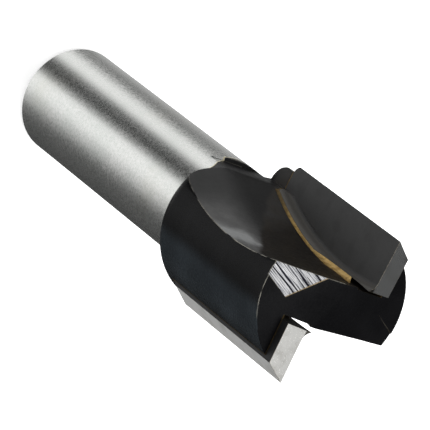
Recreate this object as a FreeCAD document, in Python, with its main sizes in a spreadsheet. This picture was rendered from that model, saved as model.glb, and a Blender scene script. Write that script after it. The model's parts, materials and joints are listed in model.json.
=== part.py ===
import FreeCAD, Part
import math
import os
import Sketcher

# Straight router bit with two brazed carbide tips.
# The frame: the origin is the centre of the shank's end face, and +Z runs along the axis
# to the cutting end. Tip 1 stands on the +X side and cuts towards +Y. Tip 2 is its half-turn.

V = FreeCAD.Vector
SIDES = (1, 2)

SIZES = (
    ("shank_diameter", 12.7, "half-inch shank that the collet grips"),
    ("shank_length", 38.1, "end face to the head's shoulder"),
    ("shank_chamfer", 0.6, "at the end face"),
    ("head_diameter", 17.6, "turned head that carries the tips"),
    ("head_length", 25.4, "shoulder to the tips' end corners"),
    ("shoulder_round", 2.3, "outer edge of the shoulder"),
    ("shoulder_root", 0.1, "hollow between shoulder and shank"),
    ("cutting_diameter", 19.05, "three-quarter-inch cut"),
    ("rake_offset", 2.75, "ground rake face, back from the axis"),
    ("plate_inner", 3.05, "inner edge of the carbide, out from the axis"),
    ("plate_back", 5.0, "back of the carbide, from the axis"),
    ("plate_thickness", 2.95, "carbide as brazed, before its rake face is ground"),
    ("plate_length", 22.2, "along the axis"),
    ("plate_rear_round", 0.9, "outer corner at the carbide's rear end"),
    ("side_relief", 18.0, "degrees between the cutting circle and the ground side"),
    ("end_relief", 7.0, "degrees that the carbide's end falls towards its back"),
    ("end_dish", 1.5, "degrees that the carbide's end falls towards the axis"),
    ("braze_back", 0.1, "braze behind and at the rear of the carbide"),
    ("braze_bed", 0.45, "braze under the carbide's inner edge"),
    ("braze_bead", 0.4, "braze in front of the unground carbide"),
    ("braze_stop", 3.0, "bead's sharp end, back from the tips' end corners"),
    ("braze_taper", 32.0, "degrees between the bead's torn end and the axis"),
    ("gullet_radius", 42.0, "sweep of the gullet's floor along the axis"),
    ("gullet_floor", 2.68, "floor at its lowest, out from the axis at the rake face"),
    ("gullet_low", 5.5, "that lowest point, back from the tips' end corners"),
    ("gullet_exit", 6.2, "floor where it levels out towards the shank, out from the axis"),
    ("gullet_end", 25.9, "end of that level run, back from the tips' end corners"),
    ("gullet_skew", 27.0, "degrees that the gullet runs back as it leaves the rake face"),
    ("gullet_lean", 6.7, "degrees that the floor falls away from the rake face"),
    ("gullet_root", 1.2, "hollow corner between rake face and floor"),
    ("end_drop", 1.25, "steel at the axis, back from the tips' end corners"),
    ("land_slope", 5.7, "degrees that each land's end falls from the ridge"),
    ("ridge_turn", 18.6, "degrees between the ridge of the end and the X axis"),
    ("facet_tilt", 3.0, "degrees that the ground heel facet falls beyond its land"),
    ("facet_turn", 46.8, "degrees between the facet's inner edge and the X axis"),
    ("facet_reach", 3.39, "facet's inner edge, out from the axis"),
    ("facet_path", 62.7, "degrees between the grinding marks and the X axis"),
    ("facet_side", 3.37, "edge of the wheel's path, out from the axis"),
)

doc = FreeCAD.newDocument("straight_router_bit")
sheet = doc.addObject("Spreadsheet::Sheet", "Sizes")
for row, (alias, value, note) in enumerate(SIZES, 1):
    sheet.set("A%d" % row, alias)
    sheet.set("B%d" % row, str(value))
    sheet.setAlias("B%d" % row, alias)
    sheet.set("C%d" % row, note)
doc.recompute()


def size(alias):
    return float(sheet.get(alias))


# How far the cutters reach past the metal that they cut.
spare = size("cutting_diameter") / 2
overall = size("shank_length") + size("head_length")


def half_turn(side):
    return FreeCAD.Placement(V(), FreeCAD.Rotation(V(0, 0, 1), 180.0 * (side - 1)))


def origin_plane(body, role):
    return next(f for f in body.Origin.OriginFeatures if f.Role == role)


def new_sketch(body, name, role):
    sketch = body.newObject("Sketcher::SketchObject", name)
    sketch.AttachmentSupport = [(origin_plane(body, role), "")]
    sketch.MapMode = "FlatFace"
    return sketch


def new_outline(sketch, points):
    """A closed outline of straight lines. Line i runs from point i to the next."""
    count = len(points)
    for i, (x, y) in enumerate(points):
        after = points[(i + 1) % count]
        sketch.addGeometry(Part.LineSegment(V(x, y, 0), V(after[0], after[1], 0)))
    for i in range(count):
        sketch.addConstraint(Sketcher.Constraint("Coincident", i, 2, (i + 1) % count, 1))


def hold_point(sketch, line, label, across, up):
    """Ties the start of a line to the sketch's origin. across and up are expressions."""
    point = sketch.getPoint(line, 1)
    for kind, suffix, value, text in (
        ("DistanceX", "_across", point.x, across),
        ("DistanceY", "_up", point.y, up),
    ):
        index = sketch.addConstraint(Sketcher.Constraint(kind, -1, 1, line, 1, value))
        sketch.renameConstraint(index, label + suffix)
        sketch.setExpression("Constraints." + label + suffix, text)


def held_outline(sketch, corners):
    """A closed outline whose corners are each held by two expressions."""
    new_outline(sketch, [(x, y) for _, x, y, _, _ in corners])
    for line, (label, _, _, across, up) in enumerate(corners):
        hold_point(sketch, line, label, across, up)


# Bit body: shank and head, turned from one bar. A narrow shoulder limits its two radii, and
# these are the most of its width that each may take.
ROUND_SHARE = 0.94
ROOT_SHARE = 0.05


def turned_blank():
    body = doc.addObject("PartDesign::Body", "TurnedBlank")
    profile = new_sketch(body, "BlankProfile", "XZ_Plane")
    shank_r = size("shank_diameter") / 2
    head_r = size("head_diameter") / 2
    chamfer = size("shank_chamfer")
    shank = size("shank_length")
    held_outline(
        profile,
        (
            ("axis_low", 0, 0, "0 mm", "0 mm"),
            ("end_face", shank_r - chamfer, 0,
             "Sizes.shank_diameter / 2 * 1 mm - Sizes.shank_chamfer * 1 mm", "0 mm"),
            ("chamfer_top", shank_r, chamfer,
             "Sizes.shank_diameter / 2 * 1 mm", "Sizes.shank_chamfer * 1 mm"),
            ("shoulder_in", shank_r, shank,
             "Sizes.shank_diameter / 2 * 1 mm", "Sizes.shank_length * 1 mm"),
            ("shoulder_out", head_r, shank,
             "Sizes.head_diameter / 2 * 1 mm", "Sizes.shank_length * 1 mm"),
            ("head_top", head_r, overall, "Sizes.head_diameter / 2 * 1 mm",
             "(Sizes.shank_length + Sizes.head_length) * 1 mm"),
            ("axis_high", 0, overall, "0 mm",
             "(Sizes.shank_length + Sizes.head_length) * 1 mm"),
        ),
    )
    turned = body.newObject("PartDesign::Revolution", "Turning")
    turned.Profile = profile
    turned.ReferenceAxis = (profile, ["V_Axis"])
    turned.Angle = 360
    doc.recompute()
    for name, radius, alias, share in (
        ("ShoulderRound", head_r, "shoulder_round", ROUND_SHARE),
        ("ShoulderRoot", shank_r, "shoulder_root", ROOT_SHARE),
    ):
        before = body.Tip
        rounding = body.newObject("PartDesign::Fillet", name)
        rounding.Base = (before, circle_edges(before.Shape, radius, shank))
        rounding.setExpression(
            "Radius",
            "min(Sizes.%s; %g * (Sizes.head_diameter - Sizes.shank_diameter) / 2) * 1 mm"
            % (alias, share),
        )
        body.Tip = rounding
        doc.recompute()
    return body


def circle_edges(shape, radius, height):
    """Names of the edges that are circles of one radius at one height."""
    return [
        "Edge%d" % number
        for number, edge in enumerate(shape.Edges, 1)
        if hasattr(edge.Curve, "Radius")
        and abs(edge.Curve.Radius - radius) < 1e-6
        and abs(edge.Curve.Center.z - height) < 1e-6
    ]


# Gullet cutter: what the milling leaves open in front of one tip. Its flat side grinds the
# rake face and its arc the floor. It runs back and inwards as it leaves the rake face.
def gullet_cutter(side):
    body = doc.addObject("PartDesign::Body", "GulletCutter%d" % side)
    profile = new_sketch(body, "GulletProfile%d" % side, "XZ_Plane")
    profile.setExpression("AttachmentOffset.Base.z", "Sizes.rake_offset * 1 mm")
    radius = size("gullet_radius")
    centre_x = size("gullet_floor") + radius
    centre_z = overall - size("gullet_low")
    top = overall + spare
    outside = size("cutting_diameter")
    exit_x = size("gullet_exit")
    end_z = overall - size("gullet_end")
    top_angle = math.acos(-math.sqrt(1 - ((top - centre_z) / radius) ** 2))
    exit_angle = math.acos((exit_x - centre_x) / radius)
    profile.addGeometry(
        Part.ArcOfCircle(
            Part.Circle(V(centre_x, centre_z, 0), V(0, 0, 1), radius),
            top_angle, 2 * math.pi - exit_angle,
        )
    )
    arc = profile.Geometry[0]
    corners = [
        arc.EndPoint, V(exit_x, end_z, 0), V(outside, end_z, 0), V(outside, top, 0),
        arc.StartPoint,
    ]
    for corner, after in zip(corners, corners[1:]):
        profile.addGeometry(Part.LineSegment(corner, after))
    for line in range(5):
        profile.addConstraint(Sketcher.Constraint("Coincident", line, 2, (line + 1) % 5, 1))
    for kind, line in (("Vertical", 1), ("Horizontal", 2), ("Vertical", 3), ("Horizontal", 4)):
        profile.addConstraint(Sketcher.Constraint(kind, line))
    held = (
        ("sweep", "Radius", (0,), radius, "Sizes.gullet_radius * 1 mm"),
        ("centre_across", "DistanceX", (-1, 1, 0, 3), centre_x,
         "(Sizes.gullet_floor + Sizes.gullet_radius) * 1 mm"),
        ("centre_up", "DistanceY", (-1, 1, 0, 3), centre_z,
         "(Sizes.shank_length + Sizes.head_length - Sizes.gullet_low) * 1 mm"),
        ("exit", "DistanceX", (-1, 1, 0, 2), exit_x, "Sizes.gullet_exit * 1 mm"),
        ("end", "DistanceY", (-1, 1, 1, 2), end_z,
         "(Sizes.shank_length + Sizes.head_length - Sizes.gullet_end) * 1 mm"),
        ("outside", "DistanceX", (-1, 1, 2, 2), outside, "Sizes.cutting_diameter * 1 mm"),
        ("top", "DistanceY", (-1, 1, 3, 2), top,
         "(Sizes.shank_length + Sizes.head_length + Sizes.cutting_diameter / 2) * 1 mm"),
    )
    for label, kind, places, value, text in held:
        index = profile.addConstraint(Sketcher.Constraint(kind, *places, value))
        profile.renameConstraint(index, label)
        profile.setExpression("Constraints." + label, text)
    pad = body.newObject("PartDesign::Pad", "GulletRun%d" % side)
    pad.Profile = profile
    pad.UseCustomVector = True
    pad.AlongSketchNormal = True
    pad.Direction = V(
        -math.tan(math.radians(size("gullet_lean"))),
        1,
        -math.tan(math.radians(size("gullet_skew"))),
    )
    pad.setExpression("Length", "Sizes.cutting_diameter * 1 mm")
    doc.recompute()
    root = body.newObject("PartDesign::Fillet", "GulletRoot%d" % side)
    root.Base = (pad, sweep_edge(pad.Shape, radius))
    root.setExpression("Radius", "Sizes.gullet_root * 1 mm")
    body.Tip = root
    body.Placement = half_turn(side)
    doc.recompute()
    return body


def sweep_edge(shape, radius):
    """Name of the arc where the cutter's floor meets its rake side, the larger in y < 0."""
    arcs = [
        (edge.CenterOfMass.y, "Edge%d" % number)
        for number, edge in enumerate(shape.Edges, 1)
        if hasattr(edge.Curve, "Radius") and abs(edge.Curve.Radius - radius) < 1e-6
    ]
    return [min(arcs)[1]]


# Carbide tip: a flat plate, ground on its side, its end and its rake face after brazing.
def plate_blank(side):
    body = doc.addObject("PartDesign::Body", "PlateBlank%d" % side)
    outline = new_sketch(body, "PlateOutline%d" % side, "XY_Plane")
    outline.setExpression(
        "AttachmentOffset.Base.z",
        "(Sizes.shank_length + Sizes.head_length - Sizes.plate_length) * 1 mm",
    )
    inner = size("plate_inner")
    back = -size("plate_back")
    front = back + size("plate_thickness")
    edge_y = -size("rake_offset")
    edge_x = math.sqrt((size("cutting_diameter") / 2) ** 2 - edge_y**2)
    relief = math.atan2(-edge_y, edge_x) + math.radians(size("side_relief"))
    new_outline(
        outline,
        [
            (inner, back),
            (edge_x + (back - edge_y) * math.tan(relief), back),
            (edge_x + (front - edge_y) * math.tan(relief), front),
            (inner, front),
        ],
    )
    # The last line runs from the axis to the cutting edge and is only there to measure by.
    outline.addGeometry(Part.LineSegment(V(), V(edge_x, edge_y, 0)), True)
    outline.addConstraint(Sketcher.Constraint("Horizontal", 0))
    outline.addConstraint(Sketcher.Constraint("Horizontal", 2))
    outline.addConstraint(Sketcher.Constraint("Vertical", 3))
    outline.addConstraint(Sketcher.Constraint("Coincident", 4, 1, -1, 1))
    outline.addConstraint(Sketcher.Constraint("PointOnObject", 4, 2, 1))
    held = (
        ("inner", "DistanceX", (-1, 1, 0, 1), inner, "Sizes.plate_inner * 1 mm"),
        ("back", "DistanceY", (-1, 1, 0, 1), back, "-Sizes.plate_back * 1 mm"),
        ("thickness", "DistanceY", (3, 2, 3, 1), front - back,
         "Sizes.plate_thickness * 1 mm"),
        ("cutting_radius", "Distance", (4,), edge_x, "Sizes.cutting_diameter / 2 * 1 mm"),
        ("rake", "DistanceY", (-1, 1, 4, 2), edge_y, "-Sizes.rake_offset * 1 mm"),
        ("relief", "Angle", (1, 1, 4, 2), math.pi / 2 + math.radians(size("side_relief")),
         "90 deg + Sizes.side_relief * 1 deg"),
    )
    for label, kind, places, value, text in held:
        index = outline.addConstraint(Sketcher.Constraint(kind, *places, value))
        outline.renameConstraint(index, label)
        outline.setExpression("Constraints." + label, text)
    pad = body.newObject("PartDesign::Pad", "Plate%d" % side)
    pad.Profile = outline
    pad.setExpression("Length", "Sizes.plate_length * 1 mm")
    doc.recompute()
    corner = body.newObject("PartDesign::Fillet", "RearCorner%d" % side)
    corner.Base = (pad, [rear_outer_edge(pad.Shape)])
    corner.setExpression("Radius", "Sizes.plate_rear_round * 1 mm")
    body.Tip = corner
    body.Placement = half_turn(side)
    doc.recompute()
    return body


def rear_outer_edge(shape):
    """Name of the plate's outermost edge across its rear end."""
    low = min(corner.Z for corner in shape.Vertexes)
    rear = [
        (edge.CenterOfMass.x, "Edge%d" % number)
        for number, edge in enumerate(shape.Edges, 1)
        if max(corner.Z for corner in edge.Vertexes) < low + 1e-6
    ]
    return max(rear)[1]


def new_box(name, side, corner, lengths, rotation=None):
    """A block placed by its low corner in its own axes, then turned to its side of the bit."""
    block = doc.addObject("Part::Box", name)
    for field, text in zip(("Length", "Width", "Height"), lengths):
        block.setExpression(field, text)
    own = FreeCAD.Placement(corner, rotation or FreeCAD.Rotation())
    block.Placement = half_turn(side).multiply(own)
    return block


REACH = "2 * Sizes.cutting_diameter * 1 mm"


# Slot that is milled in the head for one plate, with room for the braze all round.
def slot_cutter(side):
    corner = V(
        size("plate_inner") - size("braze_bed"),
        -size("plate_back") - size("braze_back"),
        overall - size("plate_length") - size("braze_back"),
    )
    lengths = (
        REACH,
        "(Sizes.plate_thickness + Sizes.braze_back + Sizes.braze_bead) * 1 mm",
        "(Sizes.plate_length + Sizes.braze_back + Sizes.cutting_diameter) * 1 mm",
    )
    return new_box("SlotCutter%d" % side, side, corner, lengths)


def tilted(direction, normal):
    """Axes with Z along a normal and X as near as they allow to a direction."""
    return FreeCAD.Rotation(direction, V(), normal, "ZXY")


def plane_cutter(name, side, point, direction, normal, back=None):
    """A block that takes off what lies above a plane, and with back 0 only on its right."""
    reach = 2 * size("cutting_diameter")
    rotation = tilted(direction, normal)
    left = reach / 2 if back is None else back
    corner = point + rotation.multVec(V(-reach / 2, left - reach, 0))
    return new_box(name, side, corner, (REACH, REACH, REACH), rotation)


# End of the carbide: it falls from the cutting edge towards its back and towards the axis.
def carbide_end_cutter(side):
    edge_y = -size("rake_offset")
    edge_x = math.sqrt((size("cutting_diameter") / 2) ** 2 - edge_y**2)
    fall_back = math.tan(math.radians(size("end_relief")))
    fall_in = math.tan(math.radians(size("end_dish")))
    return plane_cutter(
        "CarbideEnd%d" % side, side, V(edge_x, edge_y, overall),
        V(1, 0, 0), V(-fall_in, -fall_back, 1),
    )


# End of the steel: each land falls away from a ridge that runs from tip to tip.
def land_normal():
    turn = math.radians(size("ridge_turn"))
    fall = math.tan(math.radians(size("land_slope")))
    return V(fall * math.sin(turn), fall * math.cos(turn), 1)


def steel_end():
    return V(0, 0, overall - size("end_drop"))


def land_end_cutter(side):
    return plane_cutter("LandEnd%d" % side, side, steel_end(), V(1, 0, 0), land_normal())


# Heel facet: a shallow bevel that is ground across the heel of each land. Its inner edge is
# where it runs out on the land's end, and the edge of the wheel leaves a low step.
def heel_facet_cutter(side):
    turn = math.radians(size("facet_turn"))
    outward = V(math.sin(turn), math.cos(turn), 0)
    inner_edge = steel_end() + outward * size("facet_reach")
    land = land_normal()
    inner_edge.z -= land.dot(inner_edge - steel_end())
    normal = land + outward * math.tan(math.radians(size("facet_tilt")))
    path = math.radians(size("facet_path"))
    along = V(math.cos(path), math.sin(path), 0)
    left = V(-math.sin(path), math.cos(path), 0)
    edge = left * size("facet_side")
    edge.z = inner_edge.z - normal.dot(edge - V(inner_edge.x, inner_edge.y, 0))
    return plane_cutter("HeelFacet%d" % side, side, edge, along, normal, back=0)


# Torn end of the bead: the braze stops short of the end, and the groove there stays open.
def braze_stop_cutter(side):
    start = V(
        size("plate_inner") - size("braze_bed"),
        size("plate_thickness") - size("plate_back") + size("braze_bead"),
        overall - size("braze_stop"),
    )
    taper = math.radians(size("braze_taper"))
    normal = V(0, -math.cos(taper), math.sin(taper))
    reach = 2 * size("cutting_diameter")
    rotation = tilted(V(1, 0, 0), normal)
    corner = start + rotation.multVec(V(-reach / 2, -reach / 2, 0))
    return new_box("BrazeStop%d" % side, side, corner, (REACH, REACH, REACH), rotation)


def boolean(kind, name, first, second):
    made = doc.addObject("Part::" + kind, name)
    made.Base = first
    made.Tool = second
    return made


def cut_by(name, first, tools):
    """Cuts several tools from one piece, one after another. The last cut takes the name."""
    made = first
    for tool in tools[:-1]:
        made = boolean("Cut", "%s_less_%s" % (name, tool.Name), made, tool)
    return boolean("Cut", name, made, tools[-1])


blank = turned_blank()
gullets = [gullet_cutter(side) for side in SIDES]
slots = [slot_cutter(side) for side in SIDES]
land_ends = [land_end_cutter(side) for side in SIDES]
heel_facets = [heel_facet_cutter(side) for side in SIDES]

subparts = [cut_by("bit_body", blank, slots + gullets + land_ends + heel_facets)]

for side in SIDES:
    plate = plate_blank(side)
    gullet = gullets[side - 1]
    slot = slots[side - 1]
    subparts.append(
        cut_by("carbide_tip_%d" % side, plate, [carbide_end_cutter(side), gullet])
    )
    bed = boolean("Common", "BrazeBed%d" % side, blank, slot)
    # Behind the plate the braze runs to the end; in front of it, it stops short.
    behind = new_box(
        "BehindPlate%d" % side, side,
        V(0, -size("plate_back") - size("braze_back"), 0),
        (REACH, "Sizes.braze_back * 1 mm",
         "(Sizes.shank_length + Sizes.head_length) * 1 mm"),
    )
    torn = boolean("Cut", "TornEnd%d" % side, braze_stop_cutter(side), behind)
    subparts.append(
        cut_by("braze_joint_%d" % side, bed, [plate, torn, gullet] + land_ends)
    )

doc.recompute()

for item in doc.Objects:
    if "Invalid" in item.State or "Error" in item.State:
        raise RuntimeError("%s failed: %s" % (item.Name, item.State))
for item in subparts:
    item.Label = item.Name
    if item.Shape.isNull() or not item.Shape.isValid():
        raise RuntimeError("%s has no valid shape" % item.Label)

os.makedirs("parts", exist_ok=True)
for item in subparts:
    item.Shape.exportStep("parts/%s.step" % item.Label)
    box = item.Shape.BoundBox
    print(
        "%-14s solids %d volume %.2f  x %.2f %.2f  y %.2f %.2f  z %.2f %.2f"
        % (item.Label, len(item.Shape.Solids), item.Shape.Volume,
           box.XMin, box.XMax, box.YMin, box.YMax, box.ZMin, box.ZMax)
    )
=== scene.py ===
import json
import math

import bmesh
import bpy
from mathutils import Matrix, Vector


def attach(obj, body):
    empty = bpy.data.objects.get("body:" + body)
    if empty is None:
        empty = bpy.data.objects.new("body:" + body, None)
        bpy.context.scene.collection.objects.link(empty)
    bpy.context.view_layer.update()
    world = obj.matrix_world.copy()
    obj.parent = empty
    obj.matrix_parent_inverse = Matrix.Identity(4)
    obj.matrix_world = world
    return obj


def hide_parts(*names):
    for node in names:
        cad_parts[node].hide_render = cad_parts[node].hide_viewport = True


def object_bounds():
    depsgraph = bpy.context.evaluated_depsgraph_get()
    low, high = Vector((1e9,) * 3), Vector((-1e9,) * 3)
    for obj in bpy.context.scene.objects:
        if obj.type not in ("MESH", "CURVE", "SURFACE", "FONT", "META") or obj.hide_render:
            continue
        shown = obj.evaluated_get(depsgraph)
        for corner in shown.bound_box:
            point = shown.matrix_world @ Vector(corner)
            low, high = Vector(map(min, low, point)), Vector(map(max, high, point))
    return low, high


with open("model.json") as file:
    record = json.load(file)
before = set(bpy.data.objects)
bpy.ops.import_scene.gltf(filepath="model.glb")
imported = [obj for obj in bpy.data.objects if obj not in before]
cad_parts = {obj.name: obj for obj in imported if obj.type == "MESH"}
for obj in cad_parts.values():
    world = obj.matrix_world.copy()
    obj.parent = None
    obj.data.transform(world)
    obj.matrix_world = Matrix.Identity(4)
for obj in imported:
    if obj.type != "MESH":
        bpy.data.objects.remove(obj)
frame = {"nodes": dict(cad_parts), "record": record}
cad_box = [list(corner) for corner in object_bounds()]
scene = bpy.context.scene
MM = 0.001

# Camera: it looks down on the standing bit from the cutting end and is rolled, so that the
# bit lies across the picture from upper left to lower right.
CAMERA_PLACE = Vector((0.0717, 0.2839, 0.4385))
CAMERA_BACK = Vector((0.1442, 0.5701, 0.8088)).normalized()
CAMERA_ROLL = Vector((0.4428, -0.7681, 0.4625))

camera_data = bpy.data.cameras.new("camera")
camera_data.lens = 387.9
camera_data.sensor_width = 36
camera_data.clip_start = 0.05
camera_data.clip_end = 5
camera = bpy.data.objects.new("camera", camera_data)
scene.collection.objects.link(camera)
camera_up = CAMERA_BACK.cross(CAMERA_ROLL).normalized()
camera_right = camera_up.cross(CAMERA_BACK)
camera_turn = Matrix((camera_right, camera_up, CAMERA_BACK)).transposed()
camera.matrix_world = Matrix.Translation(CAMERA_PLACE) @ camera_turn.to_4x4()
scene.camera = camera

# Bit body: one bar of steel, turned, with two gullets milled from its head. The head is
# blackened, the shank is ground bright, and the heels of the lands are ground on a wheel.
SHANK_RADIUS = frame["record"]["mounts"][0]["dims"]["r_mm"] * MM
LAND_RADIUS = cad_box[1][1]
HEEL_HEIGHT = cad_box[1][2] - 3.5 * MM
SHOULDER_BAND = (37.2 * MM, 39.3 * MM)
SHOULDER_TOP = SHOULDER_BAND[1] + 2 * MM
CHAMFERED_END = 1 * MM
BODY_EASING = 0.06 * MM
BODY_SPLINTER = 0.05 * MM
WELD = 0.002 * MM
FLAT_ANGLE = math.radians(0.5)
HARD_ANGLE = math.radians(28)
SHADED_SHARP = math.radians(40)
EDGE = "edge"


def eased_copy(node, name, easing, splinter, left_sharp=None):
    """A copy of a piece whose hard edges are broken, as a file or a wheel leaves them. The
    faces of the broken edges carry a mark. left_sharp picks edges that stay as they are."""
    form = bmesh.new()
    form.from_mesh(frame["nodes"][node].data)
    bmesh.ops.remove_doubles(form, verts=form.verts, dist=WELD)
    bmesh.ops.dissolve_limit(
        form, angle_limit=FLAT_ANGLE, use_dissolve_boundaries=False,
        verts=form.verts, edges=form.edges,
    )
    bmesh.ops.dissolve_degenerate(form, dist=splinter, edges=form.edges)
    edge_mark = form.faces.layers.float.new(EDGE)
    hard = [edge for edge in form.edges if edge.calc_face_angle(0) > HARD_ANGLE]
    if left_sharp:
        middle = {edge: (edge.verts[0].co + edge.verts[1].co) / 2 for edge in hard}
        hard = [edge for edge in hard if not left_sharp(middle[edge])]
    broken = bmesh.ops.bevel(
        form, geom=hard, offset=easing, offset_type="OFFSET", segments=2, profile=0.5,
        affect="EDGES", clamp_overlap=False, loop_slide=False,
    )
    for face in broken["faces"]:
        face[edge_mark] = 1
    bmesh.ops.dissolve_degenerate(form, dist=splinter * 0.3, edges=form.edges)
    for face in form.faces:
        face.smooth = True
    mesh = bpy.data.meshes.new(name)
    form.to_mesh(mesh)
    form.free()
    mesh.set_sharp_from_angle(angle=SHADED_SHARP)
    piece = bpy.data.objects.new(name, mesh)
    scene.collection.objects.link(piece)
    weighted = piece.modifiers.new("weighted normals", "WEIGHTED_NORMAL")
    weighted.mode = "FACE_AREA"
    weighted.weight = 50
    weighted.keep_sharp = True
    return piece


def new_group(name, inputs, outputs):
    """A shader node group with named sockets, and its two ends."""
    group = bpy.data.node_groups.new(name, "ShaderNodeTree")
    for label, value in inputs:
        socket = group.interface.new_socket(label, in_out="INPUT", socket_type="NodeSocketFloat")
        socket.default_value = value
    for label in outputs:
        group.interface.new_socket(label, in_out="OUTPUT", socket_type="NodeSocketFloat")
    return group, add(group, "NodeGroupInput").outputs, add(group, "NodeGroupOutput").inputs


def add(tree, kind, settings=(), **inputs):
    """A new node. Inputs are given by name, as a value or as another node's output."""
    node = tree.nodes.new(kind if kind.startswith("NodeGroup") else "ShaderNode" + kind)
    for field, value in dict(settings).items():
        setattr(node, field, value)
    for label, value in inputs.items():
        put(tree, node.inputs[label.replace("_", " ")], value)
    return node


def put(tree, socket, value):
    """Links a socket to another node's output, or gives it a plain value."""
    if isinstance(value, bpy.types.NodeSocket):
        tree.links.new(value, socket)
    else:
        socket.default_value = value


def maths(tree, operation, *values):
    """A Math node of up to three values."""
    node = add(tree, "Math", {"operation": operation})
    for socket, value in zip(node.inputs, values):
        put(tree, socket, value)
    return node.outputs[0]


def times(tree, first, second):
    """The product of two values."""
    return maths(tree, "MULTIPLY", first, second)


def ramp(tree, factor, low, high, out_low=0.0, out_high=1.0):
    """A smooth step from one value to another."""
    node = add(tree, "MapRange", {"interpolation_type": "SMOOTHSTEP"})
    for socket, value in zip(node.inputs, (factor, low, high, out_low, out_high)):
        put(tree, socket, value)
    return node.outputs["Result"]


def window(tree, value, rise, fall):
    """1 between a rise and a fall, each given as its start and its end."""
    return times(tree, ramp(tree, value, *rise), ramp(tree, value, *fall, 1.0, 0.0))


def blend_colours(tree, factor, first, second):
    """The first colour where the factor is 0, and the second where it is 1."""
    node = add(tree, "Mix", {"data_type": "RGBA"})
    put(tree, node.inputs[0], factor)
    put(tree, node.inputs[6], first)
    put(tree, node.inputs[7], second)
    return node.outputs[2]


def grey(level):
    """A plain grey of one level, from 0 for black to 1 for white."""
    return (level, level, level, 1)


def noise(tree, scale, detail):
    """Noise in the bit's own space."""
    own_space = add(tree, "TexCoord").outputs["Object"]
    return add(tree, "TexNoise", Vector=own_space, Scale=scale, Detail=detail).outputs["Fac"]


def place_in(tree):
    """The point's own x, y and z on the bit, in metres."""
    parts = add(tree, "SeparateXYZ", Vector=add(tree, "TexCoord").outputs["Object"])
    return parts.outputs["X"], parts.outputs["Y"], parts.outputs["Z"]


def half_turn_angle(tree):
    """Degrees round the axis from 0 to 180, the same for a point and its half-turn twin."""
    x, y, _ = place_in(tree)
    angle = times(tree, maths(tree, "ARCTAN2", y, x), 180 / math.pi)
    return maths(tree, "WRAP", angle, 180.0, 0.0)


# Clouding: soft uneven patches, as an oil-blackened or handled surface has. Low and High are
# the noise levels at which a patch starts and is full.
clouding, given, result = new_group(
    "clouding", [("Scale", 300.0), ("Low", 0.35), ("High", 0.65)], ["Mask"]
)
cloud = noise(clouding, given["Scale"], 3.0)
put(clouding, result["Mask"], ramp(clouding, cloud, given["Low"], given["High"]))

# Grain: fine specks with rings round the axis, which cylindrical grinding leaves. Rings is
# their share.
grain, given, result = new_group(
    "grinding grain", [("Speck Scale", 6000.0), ("Ring Scale", 9000.0), ("Rings", 0.5)], ["Height"]
)
rings = add(
    grain, "TexNoise", {"noise_dimensions": "1D"}, W=place_in(grain)[2],
    Scale=given["Ring Scale"], Detail=2.0,
)
both = add(grain, "Mix", {"data_type": "FLOAT"})
put(grain, both.inputs[0], given["Rings"])
put(grain, both.inputs[2], noise(grain, given["Speck Scale"], 2.0))
put(grain, both.inputs[3], rings.outputs["Fac"])
put(grain, result["Height"], both.outputs[0])

# Edge wear: the broken edges lose their finish in patches, fully from the height Full on. The
# trailing part of each land keeps it, and so does most of the land on the -Y side.
WORN_UP_TO = (104, 119)
SPARED_LAND = (-4 * MM, 0.0)
SPARED_LAND_WEAR = 0.05
wear, given, result = new_group(
    "edge wear", [("Scale", 700.0), ("Start", 40 * MM), ("Full", 57 * MM), ("Least", 0.15)], ["Mask"]
)
broken_edge = add(wear, "Attribute", {"attribute_name": EDGE}).outputs["Fac"]
patches = ramp(wear, noise(wear, given["Scale"], 3.0), 0.35, 0.6)
near_end = ramp(wear, place_in(wear)[2], given["Start"], given["Full"], given["Least"], 1.0)
leading = ramp(wear, half_turn_angle(wear), *WORN_UP_TO, 1.0, 0.0)
worn_land = ramp(wear, place_in(wear)[1], *SPARED_LAND, SPARED_LAND_WEAR, 1.0)
worn_parts = times(wear, times(wear, patches, near_end), times(wear, leading, worn_land))
put(wear, result["Mask"], times(wear, worn_parts, broken_edge))

# Coat line: where the head's coat ends on the shank. It dips below each gullet, and rises
# again over 27 degrees on one side and 80 on the other. Its thin rim is cream.
COAT_DIP = 35.08 * MM
COAT_RISE = 1.85 * MM
COAT_WAVE = 0.3 * MM
COAT_TURN = 16
COAT_SPREAD = (27, -80)
COAT_BLUR = 0.05 * MM
RIM_BLUR = 0.02 * MM
coat_line, given, result = new_group("coat line", [("Rim Width", 0.1 * MM)], ["Coated", "Rim"])
from_dip = maths(coat_line, "SUBTRACT", half_turn_angle(coat_line), COAT_TURN)
off_dip = maths(coat_line, "WRAP", from_dip, 90.0, -90.0)
line = maths(
    coat_line, "ADD", ramp(coat_line, off_dip, 0.0, COAT_SPREAD[0], COAT_DIP, COAT_DIP + COAT_RISE),
    ramp(coat_line, off_dip, 0.0, COAT_SPREAD[1], 0.0, COAT_RISE),
)
wavy_line = maths(coat_line, "MULTIPLY_ADD", noise(coat_line, 420.0, 2.0), COAT_WAVE, line)
past = maths(coat_line, "SUBTRACT", place_in(coat_line)[2], wavy_line)
past_rim = maths(coat_line, "ADD", past, given["Rim Width"])
put(coat_line, result["Coated"], ramp(coat_line, past, 0.0, COAT_BLUR))
put(coat_line, result["Rim"], times(
    coat_line, ramp(coat_line, past_rim, -RIM_BLUR, RIM_BLUR),
    ramp(coat_line, past, 0.0, COAT_BLUR, 1.0, 0.0),
))


def use(tree, group, **inputs):
    """A group's only output, with the group's sockets set by name."""
    return add(tree, "Group", {"node_tree": group}, **inputs).outputs[0]


def new_material(name):
    """A material with its node tree and its shader."""
    material = bpy.data.materials.new(name)
    material.use_nodes = True
    tree = material.node_tree
    return material, tree, tree.nodes["Principled BSDF"]


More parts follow.
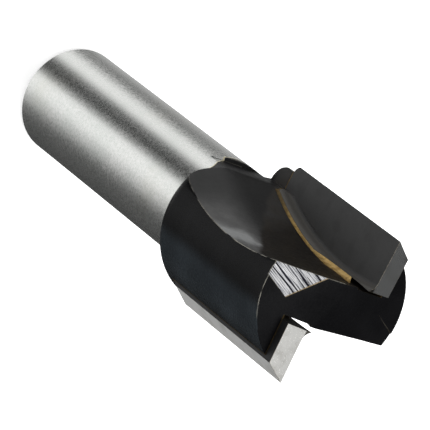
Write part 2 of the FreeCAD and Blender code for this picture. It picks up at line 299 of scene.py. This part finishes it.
def rough_and_raised(tree, shader, height, roughness, strength, depth):
    """Lets a height mask change the roughness between two values and raise the surface."""
    put(tree, shader.inputs["Roughness"], ramp(tree, height, 0.3, 0.7, *roughness))
    bump = add(tree, "Bump", Strength=strength, Distance=depth, Height=height)
    put(tree, shader.inputs["Normal"], bump.outputs[0])


STEEL_TONES = ((0.72, 0.74, 0.71, 1), (0.95, 0.95, 0.93, 1))
STAIN = (0.66, 0.71, 0.67, 1)
HANDLED = (0.78, 0.74, 0.64, 1)
CREAM = (0.66, 0.60, 0.42, 1)


def steel_colour(tree, height):
    """Bare steel's own colour with the coat line's rim, and the line's two masks."""
    line = add(tree, "Group", {"node_tree": coat_line}).outputs
    stain = times(tree, use(tree, clouding, Scale=260.0, Low=0.4, High=0.75), 0.3)
    handled = times(tree, use(tree, clouding, Scale=110.0, Low=0.5, High=0.8), 0.3)
    colour = blend_colours(tree, ramp(tree, height, 0.32, 0.68), *STEEL_TONES)
    colour = blend_colours(tree, stain, colour, STAIN)
    colour = blend_colours(tree, handled, colour, HANDLED)
    colour = blend_colours(tree, line["Rim"], colour, CREAM)
    return colour, line["Coated"], line["Rim"]


COAT_DARK = (0.003, 0.003, 0.0033, 1)


def ground_steel():
    """Bright ground steel of the shank, up to the cream rim of the head's coat."""
    material, tree, shader = new_material("ground_steel")
    height = use(tree, grain, Speck_Scale=3600.0, Ring_Scale=6000.0, Rings=0.25)
    colour, coated, rim = steel_colour(tree, height)
    put(tree, shader.inputs["Base Color"], blend_colours(tree, coated, colour, COAT_DARK))
    covered = maths(tree, "MAXIMUM", rim, coated)
    put(tree, shader.inputs["Metallic"], maths(tree, "SUBTRACT", 1.0, covered))
    shader.inputs["Specular IOR Level"].default_value = 0.3
    shader.inputs["Anisotropic"].default_value = 0.5
    shader.inputs["Anisotropic Rotation"].default_value = 0.25
    tangent = add(tree, "Tangent", {"direction_type": "RADIAL", "axis": "Z"})
    put(tree, shader.inputs["Tangent"], tangent.outputs[0])
    rough_and_raised(tree, shader, height, (0.24, 0.34), 0.26, 0.004 * MM)
    return material


WORN_METAL = (0.46, 0.44, 0.38, 1)
COAT_CLOUD = (0.0055, 0.0055, 0.006, 1)
# Painted sheen: a bluish band on each land, rising and falling at these angles round the axis.
PAINTED_SHEEN_BLUE = (0.024, 0.030, 0.035, 1)
SHEEN_RISE = (101.0, 114.0)
SHEEN_FALL = (128.0, 156.0)


def black_coat(name, sheen_strength):
    """Oil-blackened steel of the head: glossy, worn at its edges, with a painted bluish sheen
    along the trailing part of each land, as strong as the second argument says."""
    material, tree, shader = new_material(name)
    bare = use(tree, wear)
    cloud = use(tree, clouding, Scale=150.0, Low=0.35, High=0.7)
    # Painted sheen: a bluish band along the trailing part of each land, in patches.
    band = window(tree, half_turn_angle(tree), SHEEN_RISE, SHEEN_FALL)
    patchy_sheen = times(tree, band, maths(tree, "MULTIPLY_ADD", cloud, 0.35 * sheen_strength, 0.65 * sheen_strength))
    black = blend_colours(tree, cloud, COAT_DARK, COAT_CLOUD)
    black = blend_colours(tree, patchy_sheen, black, PAINTED_SHEEN_BLUE)
    put(tree, shader.inputs["Base Color"], blend_colours(tree, bare, black, WORN_METAL))
    put(tree, shader.inputs["Metallic"], bare)
    shader.inputs["Specular IOR Level"].default_value = 0.06
    height = use(tree, grain, Speck_Scale=2600.0, Ring_Scale=3000.0, Rings=0.15)
    rough_and_raised(tree, shader, height, (0.22, 0.32), 0.12, 0.005 * MM)
    return material


# The gullet's tones go by height and by how far aside a point lies, away from the rake face,
# and they are painted light. An oblique line splits the open part of the gullet, which carries
# a painted reflection with painted highlights, from the dark part beside the braze, which is
# painted shade.
GULLET_WAVER = 3 * MM
SPLIT_SLOPE = 1.72
SPLIT_PLACE = 43.6 * MM
SPLIT_BLUR = 0.7 * MM
INNER_GREY, OUTER_GREY = grey(0.014), grey(0.038)
OUTER_ASIDE = (1.5 * MM, 4.5 * MM)
# Painted highlight: a lighter grey near the gullet's lower edge, and a brighter patch above it.
LOW_EDGE_HIGHLIGHT_GREY = (0.100, 0.100, 0.099, 1)
LOW_EDGE_ASIDE = (2.5 * MM, 6.5 * MM)
LOW_EDGE_HEIGHT = (41 * MM, 47.5 * MM)
STREAK_GREY = grey(0.020)
PAINTED_HIGHLIGHT_GREY = (0.23, 0.235, 0.235, 1)
HIGHLIGHT_ASIDE = (4.4 * MM, 6.0 * MM)
HIGHLIGHT_RISE, HIGHLIGHT_FALL = (48 * MM, 50.8 * MM), (52 * MM, 54.5 * MM)
# Painted shade beside the braze: darker towards the cutting end, with brownish streaks.
REAR_DARK, FRONT_DARK = (0.030, 0.029, 0.028, 1), (0.013, 0.011, 0.009, 1)
FRONT_HEIGHT = (45 * MM, 49 * MM)
BROWN_STREAK = (0.024, 0.019, 0.013, 1)


def gullet_coat():
    """The same coat in the milled gullets, where it stays greyer and more matt. It has a painted
    highlight near the gullet's lower edge, and beside the braze a painted shade, dark and brownish."""
    material, tree, shader = new_material("gullet_coat")
    x, y, z = place_in(tree)
    aside = times(tree, y, maths(tree, "SIGN", x))
    centred = maths(tree, "SUBTRACT", z, GULLET_WAVER / 2)
    wavering = maths(tree, "MULTIPLY_ADD", noise(tree, 330.0, 3.0), GULLET_WAVER, centred)
    streaks = ramp(tree, noise(tree, 520.0, 4.0), 0.35, 0.68)
    past_split = maths(tree, "MULTIPLY_ADD", aside, -SPLIT_SLOPE, wavering)
    open_part = ramp(tree, past_split, SPLIT_PLACE + SPLIT_BLUR, SPLIT_PLACE - SPLIT_BLUR)
    # Painted highlight near the gullet's lower edge.
    low_edge = times(
        tree, ramp(tree, aside, *LOW_EDGE_ASIDE), ramp(tree, wavering, *LOW_EDGE_HEIGHT)
    )
    # Painted highlight patch, broken up by streaks.
    patch = times(
        tree, ramp(tree, aside, *HIGHLIGHT_ASIDE), window(tree, wavering, HIGHLIGHT_RISE, HIGHLIGHT_FALL)
    )
    painted_highlight = times(tree, patch, maths(tree, "MULTIPLY_ADD", streaks, -0.8, 1.2))
    open_tone = blend_colours(tree, ramp(tree, aside, *OUTER_ASIDE), INNER_GREY, OUTER_GREY)
    open_tone = blend_colours(tree, low_edge, open_tone, LOW_EDGE_HIGHLIGHT_GREY)
    open_tone = blend_colours(tree, times(tree, streaks, 0.25), open_tone, STREAK_GREY)
    open_tone = blend_colours(tree, painted_highlight, open_tone, PAINTED_HIGHLIGHT_GREY)
    # Painted shade in the dark part beside the braze.
    dark_tone = blend_colours(tree, ramp(tree, wavering, *FRONT_HEIGHT), REAR_DARK, FRONT_DARK)
    dark_tone = blend_colours(tree, times(tree, streaks, 0.4), dark_tone, BROWN_STREAK)
    coat = blend_colours(tree, open_part, dark_tone, open_tone)
    bare = use(tree, wear)
    coat = blend_colours(tree, bare, coat, WORN_METAL)
    height = use(tree, grain, Speck_Scale=2200.0, Ring_Scale=2400.0, Rings=0.25)
    steel, coated, rim = steel_colour(tree, height)
    put(tree, shader.inputs["Base Color"], blend_colours(tree, coated, steel, coat))
    open_steel = maths(tree, "SUBTRACT", 1.0, maths(tree, "MAXIMUM", rim, coated))
    put(tree, shader.inputs["Metallic"], maths(tree, "MAXIMUM", bare, open_steel))
    shader.inputs["Specular IOR Level"].default_value = 0.1
    rough_and_raised(tree, shader, height, (0.34, 0.46), 0.3, 0.01 * MM)
    return material


# The heel facet: the wheel ran across it in one direction, and its inner border lies at a
# reach from the axis, where the heated coat turned brown.
GRINDING_PATH = math.radians(62.7)
BORDER_FACING = math.radians(43.2)
BORDER_REACH = 3.39 * MM
BORDER_WIDTH = (0.13 * MM, 0.04 * MM)
SMEAR = 0.03
MARK_SCALES = (4600.0, 13000.0)
FACET_BRIGHT = (0.90, 0.90, 0.91, 1)
SCRATCH = (0.22, 0.23, 0.26, 1)
GOUGE = (0.02, 0.02, 0.03, 1)
HEAT_BROWN = (0.45, 0.33, 0.17, 1)


def towards(tree, x, y, direction):
    """How far a point lies in a direction of the XY plane."""
    return maths(
        tree, "ADD", times(tree, x, math.cos(direction)), times(tree, y, math.sin(direction))
    )


def heel_ground():
    """Bare steel of the heel facet, with the deep ragged marks of a coarse wheel."""
    material, tree, shader = new_material("heel_ground")
    x, y, _ = place_in(tree)
    across = towards(tree, x, y, GRINDING_PATH + math.pi / 2)
    along = times(tree, towards(tree, x, y, GRINDING_PATH), SMEAR)
    path = add(tree, "CombineXYZ", X=across, Y=along).outputs[0]
    coarse, fine = [
        add(tree, "TexNoise", {"noise_dimensions": "2D"}, Vector=path, Scale=scale, Detail=2.0)
        for scale in MARK_SCALES
    ]
    gouge = ramp(tree, coarse.outputs["Fac"], 0.455, 0.405)
    scratch = ramp(tree, fine.outputs["Fac"], 0.56, 0.40, 0.0, 0.75)
    colour = blend_colours(tree, scratch, FACET_BRIGHT, SCRATCH)
    colour = blend_colours(tree, gouge, colour, GOUGE)
    inside = maths(tree, "SUBTRACT", towards(tree, x, y, BORDER_FACING), BORDER_REACH)
    border = ramp(tree, inside, *BORDER_WIDTH, 0.0, 0.85)
    put(tree, shader.inputs["Base Color"], blend_colours(tree, border, colour, HEAT_BROWN))
    shader.inputs["Metallic"].default_value = 1
    shader.inputs["Roughness"].default_value = 0.22
    height = maths(tree, "SUBTRACT", fine.outputs["Fac"], gouge)
    bump = add(tree, "Bump", Strength=0.3, Distance=0.01 * MM, Height=height)
    put(tree, shader.inputs["Normal"], bump.outputs[0])
    return material


# The body's mesh, with a finish for each face, by where it lies and how it slopes. Only the
# heel facet on the +Y side is bare: its twin and both land ends have the coat without the
# painted sheen. The black coat on the twin is painted shade: that facet is dark only by what
# it mirrors.
COATED, GROUND, HEEL, GULLET, LAND_END = range(5)
HEEL_SLOPE = (math.radians(7), math.radians(10))
LEVEL = 0.9
TURNED_WITHIN = 0.06
ON_SHANK = 0.02 * MM
INSIDE_LAND = 0.1 * MM


def on_shoulder(point):
    """Whether a point lies by the turned shoulder, which already has its round."""
    return SHOULDER_BAND[0] < point.z < SHOULDER_BAND[1]


def body_finish(face, radii):
    """The finish of a face of the body, from its corners' distances to the axis."""
    height = face.center.z
    slope = face.normal.angle(Vector((0, 0, 1)))
    turned = abs(face.normal.xy.cross(face.center.xy.normalized())) < TURNED_WITHIN
    if height > HEEL_HEIGHT and HEEL_SLOPE[0] < slope < HEEL_SLOPE[1]:
        # The -Y twin of the heel facet gets the black coat as painted shade.
        return HEEL if face.center.y > 0 else LAND_END
    if height > HEEL_HEIGHT and face.normal.z > LEVEL:
        return LAND_END
    if turned and height < SHOULDER_TOP:
        on_shank = SHANK_RADIUS - ON_SHANK < min(radii) and max(radii) < SHANK_RADIUS + ON_SHANK
        return GROUND if on_shank or height < CHAMFERED_END else COATED
    if height < CHAMFERED_END:
        return GROUND
    if abs(face.normal.z) < LEVEL and min(radii) < LAND_RADIUS - INSIDE_LAND:
        return GULLET
    return COATED


body = eased_copy("bit_body", "bit_body_finished", BODY_EASING, BODY_SPLINTER, on_shoulder)
# The side coat carries the painted bluish sheen, the end coat has none.
side_coat, end_coat = black_coat("black_coat", 1.0), black_coat("black_coat_end", 0.0)
for material in (side_coat, ground_steel(), heel_ground(), gullet_coat(), end_coat):
    body.data.materials.append(material)
finishes_at = {}
for face in body.data.polygons:
    radii = [body.data.vertices[corner].co.xy.length for corner in face.vertices]
    face.material_index = body_finish(face, radii)
    for key in face.edge_keys:
        finishes_at.setdefault(key, set()).add(face.material_index)
for edge in body.data.edges:
    gullet_rim = finishes_at[edge.key] in ({COATED, GULLET}, {GROUND, GULLET})
    edge.use_edge_sharp = edge.use_edge_sharp or gullet_rim
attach(body, "root")
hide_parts("bit_body")

# Carbide tips: sintered plates, brazed in and then ground. The end and the outer side are
# bright, the rake face is matt and dark, and the back keeps its sintered skin.
CARBIDE_EASING = 0.03 * MM
CARBIDE_SPLINTER = 0.04 * MM
RAKE, END, BACK, OUTER = range(4)
MATT_RAKE = (grey(0.050), grey(0.043))
BRIGHT_END = ((0.69, 0.685, 0.66, 1), (0.55, 0.54, 0.51, 1))
SINTERED = ((0.014, 0.014, 0.015, 1), (0.009, 0.009, 0.009, 1))
BRIGHT_SIDE = ((0.64, 0.64, 0.63, 1), (0.52, 0.52, 0.50, 1))
BROWN_TINT = (0.75, 0.66, 0.525)
HOLLOW_BAND = (2.745 * MM, 2.64 * MM)
HOLLOW_TONE = (0.090, 0.086, 0.079, 1)


def carbide(name, tones, metallic, roughness, strength):
    """Carbide of two clouded tones, a little brown where an edge is broken, and lighter in
    the hollow band where the rake face curves up to the braze."""
    material, tree, shader = new_material(name)
    cloud = use(tree, clouding, Scale=620.0, Low=0.45, High=0.72)
    hollow = ramp(tree, maths(tree, "ABSOLUTE", place_in(tree)[1]), *HOLLOW_BAND)
    edge = add(tree, "Attribute", {"attribute_name": EDGE}).outputs["Fac"]
    brown = tuple(light * tint for light, tint in zip(tones[0], BROWN_TINT)) + (1,)
    colour = blend_colours(tree, cloud, *tones)
    colour = blend_colours(tree, hollow, colour, HOLLOW_TONE)
    colour = blend_colours(tree, times(tree, edge, 0.8), colour, brown)
    put(tree, shader.inputs["Base Color"], colour)
    shader.inputs["Metallic"].default_value = metallic
    shader.inputs["Specular IOR Level"].default_value = 0.3
    height = use(tree, grain, Speck_Scale=7000.0, Ring_Scale=5200.0, Rings=0.3)
    rough_and_raised(tree, shader, height, roughness, strength, 0.004 * MM)
    return material


def tip_finish(face, rake):
    """The finish of a face of a tip whose rake face looks to +Y, or to -Y where rake is -1."""
    if face.normal.z > 0.7:
        return END
    if face.normal.x * rake > 0.7 and face.center.xy.length > LAND_RADIUS:
        return OUTER
    return BACK if face.normal.y * rake < -0.5 else RAKE


tip_materials = (
    carbide("carbide_matt_rake", MATT_RAKE, 0.6, (0.40, 0.50), 0.15),
    carbide("carbide_ground_end", BRIGHT_END, 0.97, (0.17, 0.22), 0.02),
    carbide("carbide_sintered_skin", SINTERED, 0.0, (0.45, 0.55), 0.2),
    carbide("carbide_ground_side", BRIGHT_SIDE, 0.3, (0.28, 0.36), 0.1),
)
for side, rake in ((1, 1), (2, -1)):
    tip = eased_copy(
        "carbide_tip_%d" % side, "carbide_tip_%d_ground" % side, CARBIDE_EASING, CARBIDE_SPLINTER
    )
    for material in tip_materials:
        tip.data.materials.append(material)
    for face in tip.data.polygons:
        face.material_index = tip_finish(face, rake)
    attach(tip, "root")
    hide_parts("carbide_tip_%d" % side)

# Braze joints: golden filler that was melted between the plate and its seat. It shows as a
# thin grainy bead along the rake face, darkened at the plate's back by a painted shadow, and
# darker towards the rear.
GOLD_TONES = ((0.66, 0.46, 0.17, 1), (0.42, 0.26, 0.08, 1))
DARKENED_FILLER = (0.02, 0.016, 0.01, 1)
SHADOWED_BACK = (4.6 * MM, 4.8 * MM)
DARKER_REAR = (47.5 * MM, 42.5 * MM)


def golden_filler():
    """Brass of two clouded tones, rough from the torch."""
    material, tree, shader = new_material("golden_filler")
    _, y, z = place_in(tree)
    cloud = use(tree, clouding, Scale=1500.0, Low=0.35, High=0.7)
    # Painted shadow: the filler darkens at the plate's back.
    back = ramp(tree, maths(tree, "ABSOLUTE", y), *SHADOWED_BACK, 0.0, 0.9)
    # The filler also darkens towards the rear.
    darkening = maths(tree, "MAXIMUM", back, ramp(tree, z, *DARKER_REAR, 0.0, 0.8))
    colour = blend_colours(tree, darkening, blend_colours(tree, cloud, *GOLD_TONES), DARKENED_FILLER)
    put(tree, shader.inputs["Base Color"], colour)
    shader.inputs["Metallic"].default_value = 0.8
    height = use(tree, grain, Speck_Scale=4200.0, Ring_Scale=3600.0, Rings=0.4)
    rough_and_raised(tree, shader, height, (0.38, 0.55), 0.7, 0.03 * MM)
    return material


filler = golden_filler()
for side in (1, 2):
    for slot in frame["nodes"]["braze_joint_%d" % side].material_slots:
        slot.material = filler

# Stage: a white floor, one soft lamp overhead, and a light tent, which only mirror-like
# surfaces see. Its wall has pale and dark strips, each at an azimuth in degrees with its level.
FLOOR_WHITE = grey(0.82)
FLOOR_LIFT = 0.55
TENT_STRIPS = (
    (-180, 0.08), (-140, 0.05), (-126, 0.06), (-116, 0.2), (-104, 0.3), (-94, 0.66),
    (-66, 0.5), (-40, 0.17), (-24, 0.17), (-7, 1.0), (16, 1.0), (30, 0.1), (52, 0.04),
    (64, 0.3), (75, 1.0), (98, 1.0), (122, 0.6), (142, 0.19), (160, 0.09),
)
TENT_WALL_TOP = (-0.1, 0.12)
TENT_SLOPE = (0.06, 0.063, 0.067, 1)
TENT_CAP = (0.86, 0.92)
PLAIN_LEVEL = grey(0.7)

bpy.ops.mesh.primitive_plane_add(size=6)
floor = bpy.context.object
floor.name = "floor"
floor.visible_glossy = False
floor_material, tree, shader = new_material("floor_white")
shader.inputs["Base Color"].default_value = FLOOR_WHITE
shader.inputs["Roughness"].default_value = 0.9
shader.inputs["Specular IOR Level"].default_value = 0
lift = times(tree, add(tree, "LightPath").outputs["Is Camera Ray"], FLOOR_LIFT)
shader.inputs["Emission Color"].default_value = grey(1)
put(tree, shader.inputs["Emission Strength"], lift)
floor.data.materials.append(floor_material)

lamp_data = bpy.data.lights.new("overhead", "AREA")
lamp_data.shape = "DISK"
lamp_data.size = 0.5
lamp_data.energy = 6
lamp = bpy.data.objects.new("overhead", lamp_data)
lamp.location = (-0.05, -0.22, 0.75)
lamp.visible_glossy = False
lamp.rotation_euler = lamp.location.to_track_quat("Z", "Y").to_euler()
scene.collection.objects.link(lamp)

world = bpy.data.worlds.new("world")
scene.world = world
world.use_nodes = True
tree = world.node_tree
rays = add(tree, "LightPath").outputs
sight = add(tree, "SeparateXYZ", Vector=add(tree, "TexCoord").outputs["Generated"]).outputs
around = maths(
    tree, "MULTIPLY_ADD", maths(tree, "ARCTAN2", sight["Y"], sight["X"]), 0.5 / math.pi, 0.5
)
strips = add(tree, "ValToRGB", Fac=around)
strips.color_ramp.interpolation = "EASE"
stops = strips.color_ramp.elements
for number, (azimuth, level) in enumerate(TENT_STRIPS):
    place = (azimuth + 180) / 360
    stop = stops[number] if number < 2 else stops.new(place)
    stop.position = place
    stop.color = grey(level)
tent = blend_colours(
    tree, ramp(tree, sight["Z"], *TENT_WALL_TOP), strips.outputs["Color"], TENT_SLOPE
)
tent = blend_colours(tree, ramp(tree, sight["Z"], *TENT_CAP), tent, grey(1))
plain = blend_colours(tree, rays["Is Camera Ray"], PLAIN_LEVEL, grey(1))
seen = blend_colours(tree, rays["Is Glossy Ray"], plain, tent)
put(tree, tree.nodes["Background"].inputs["Color"], seen)
scene.view_settings.view_transform = "Standard"
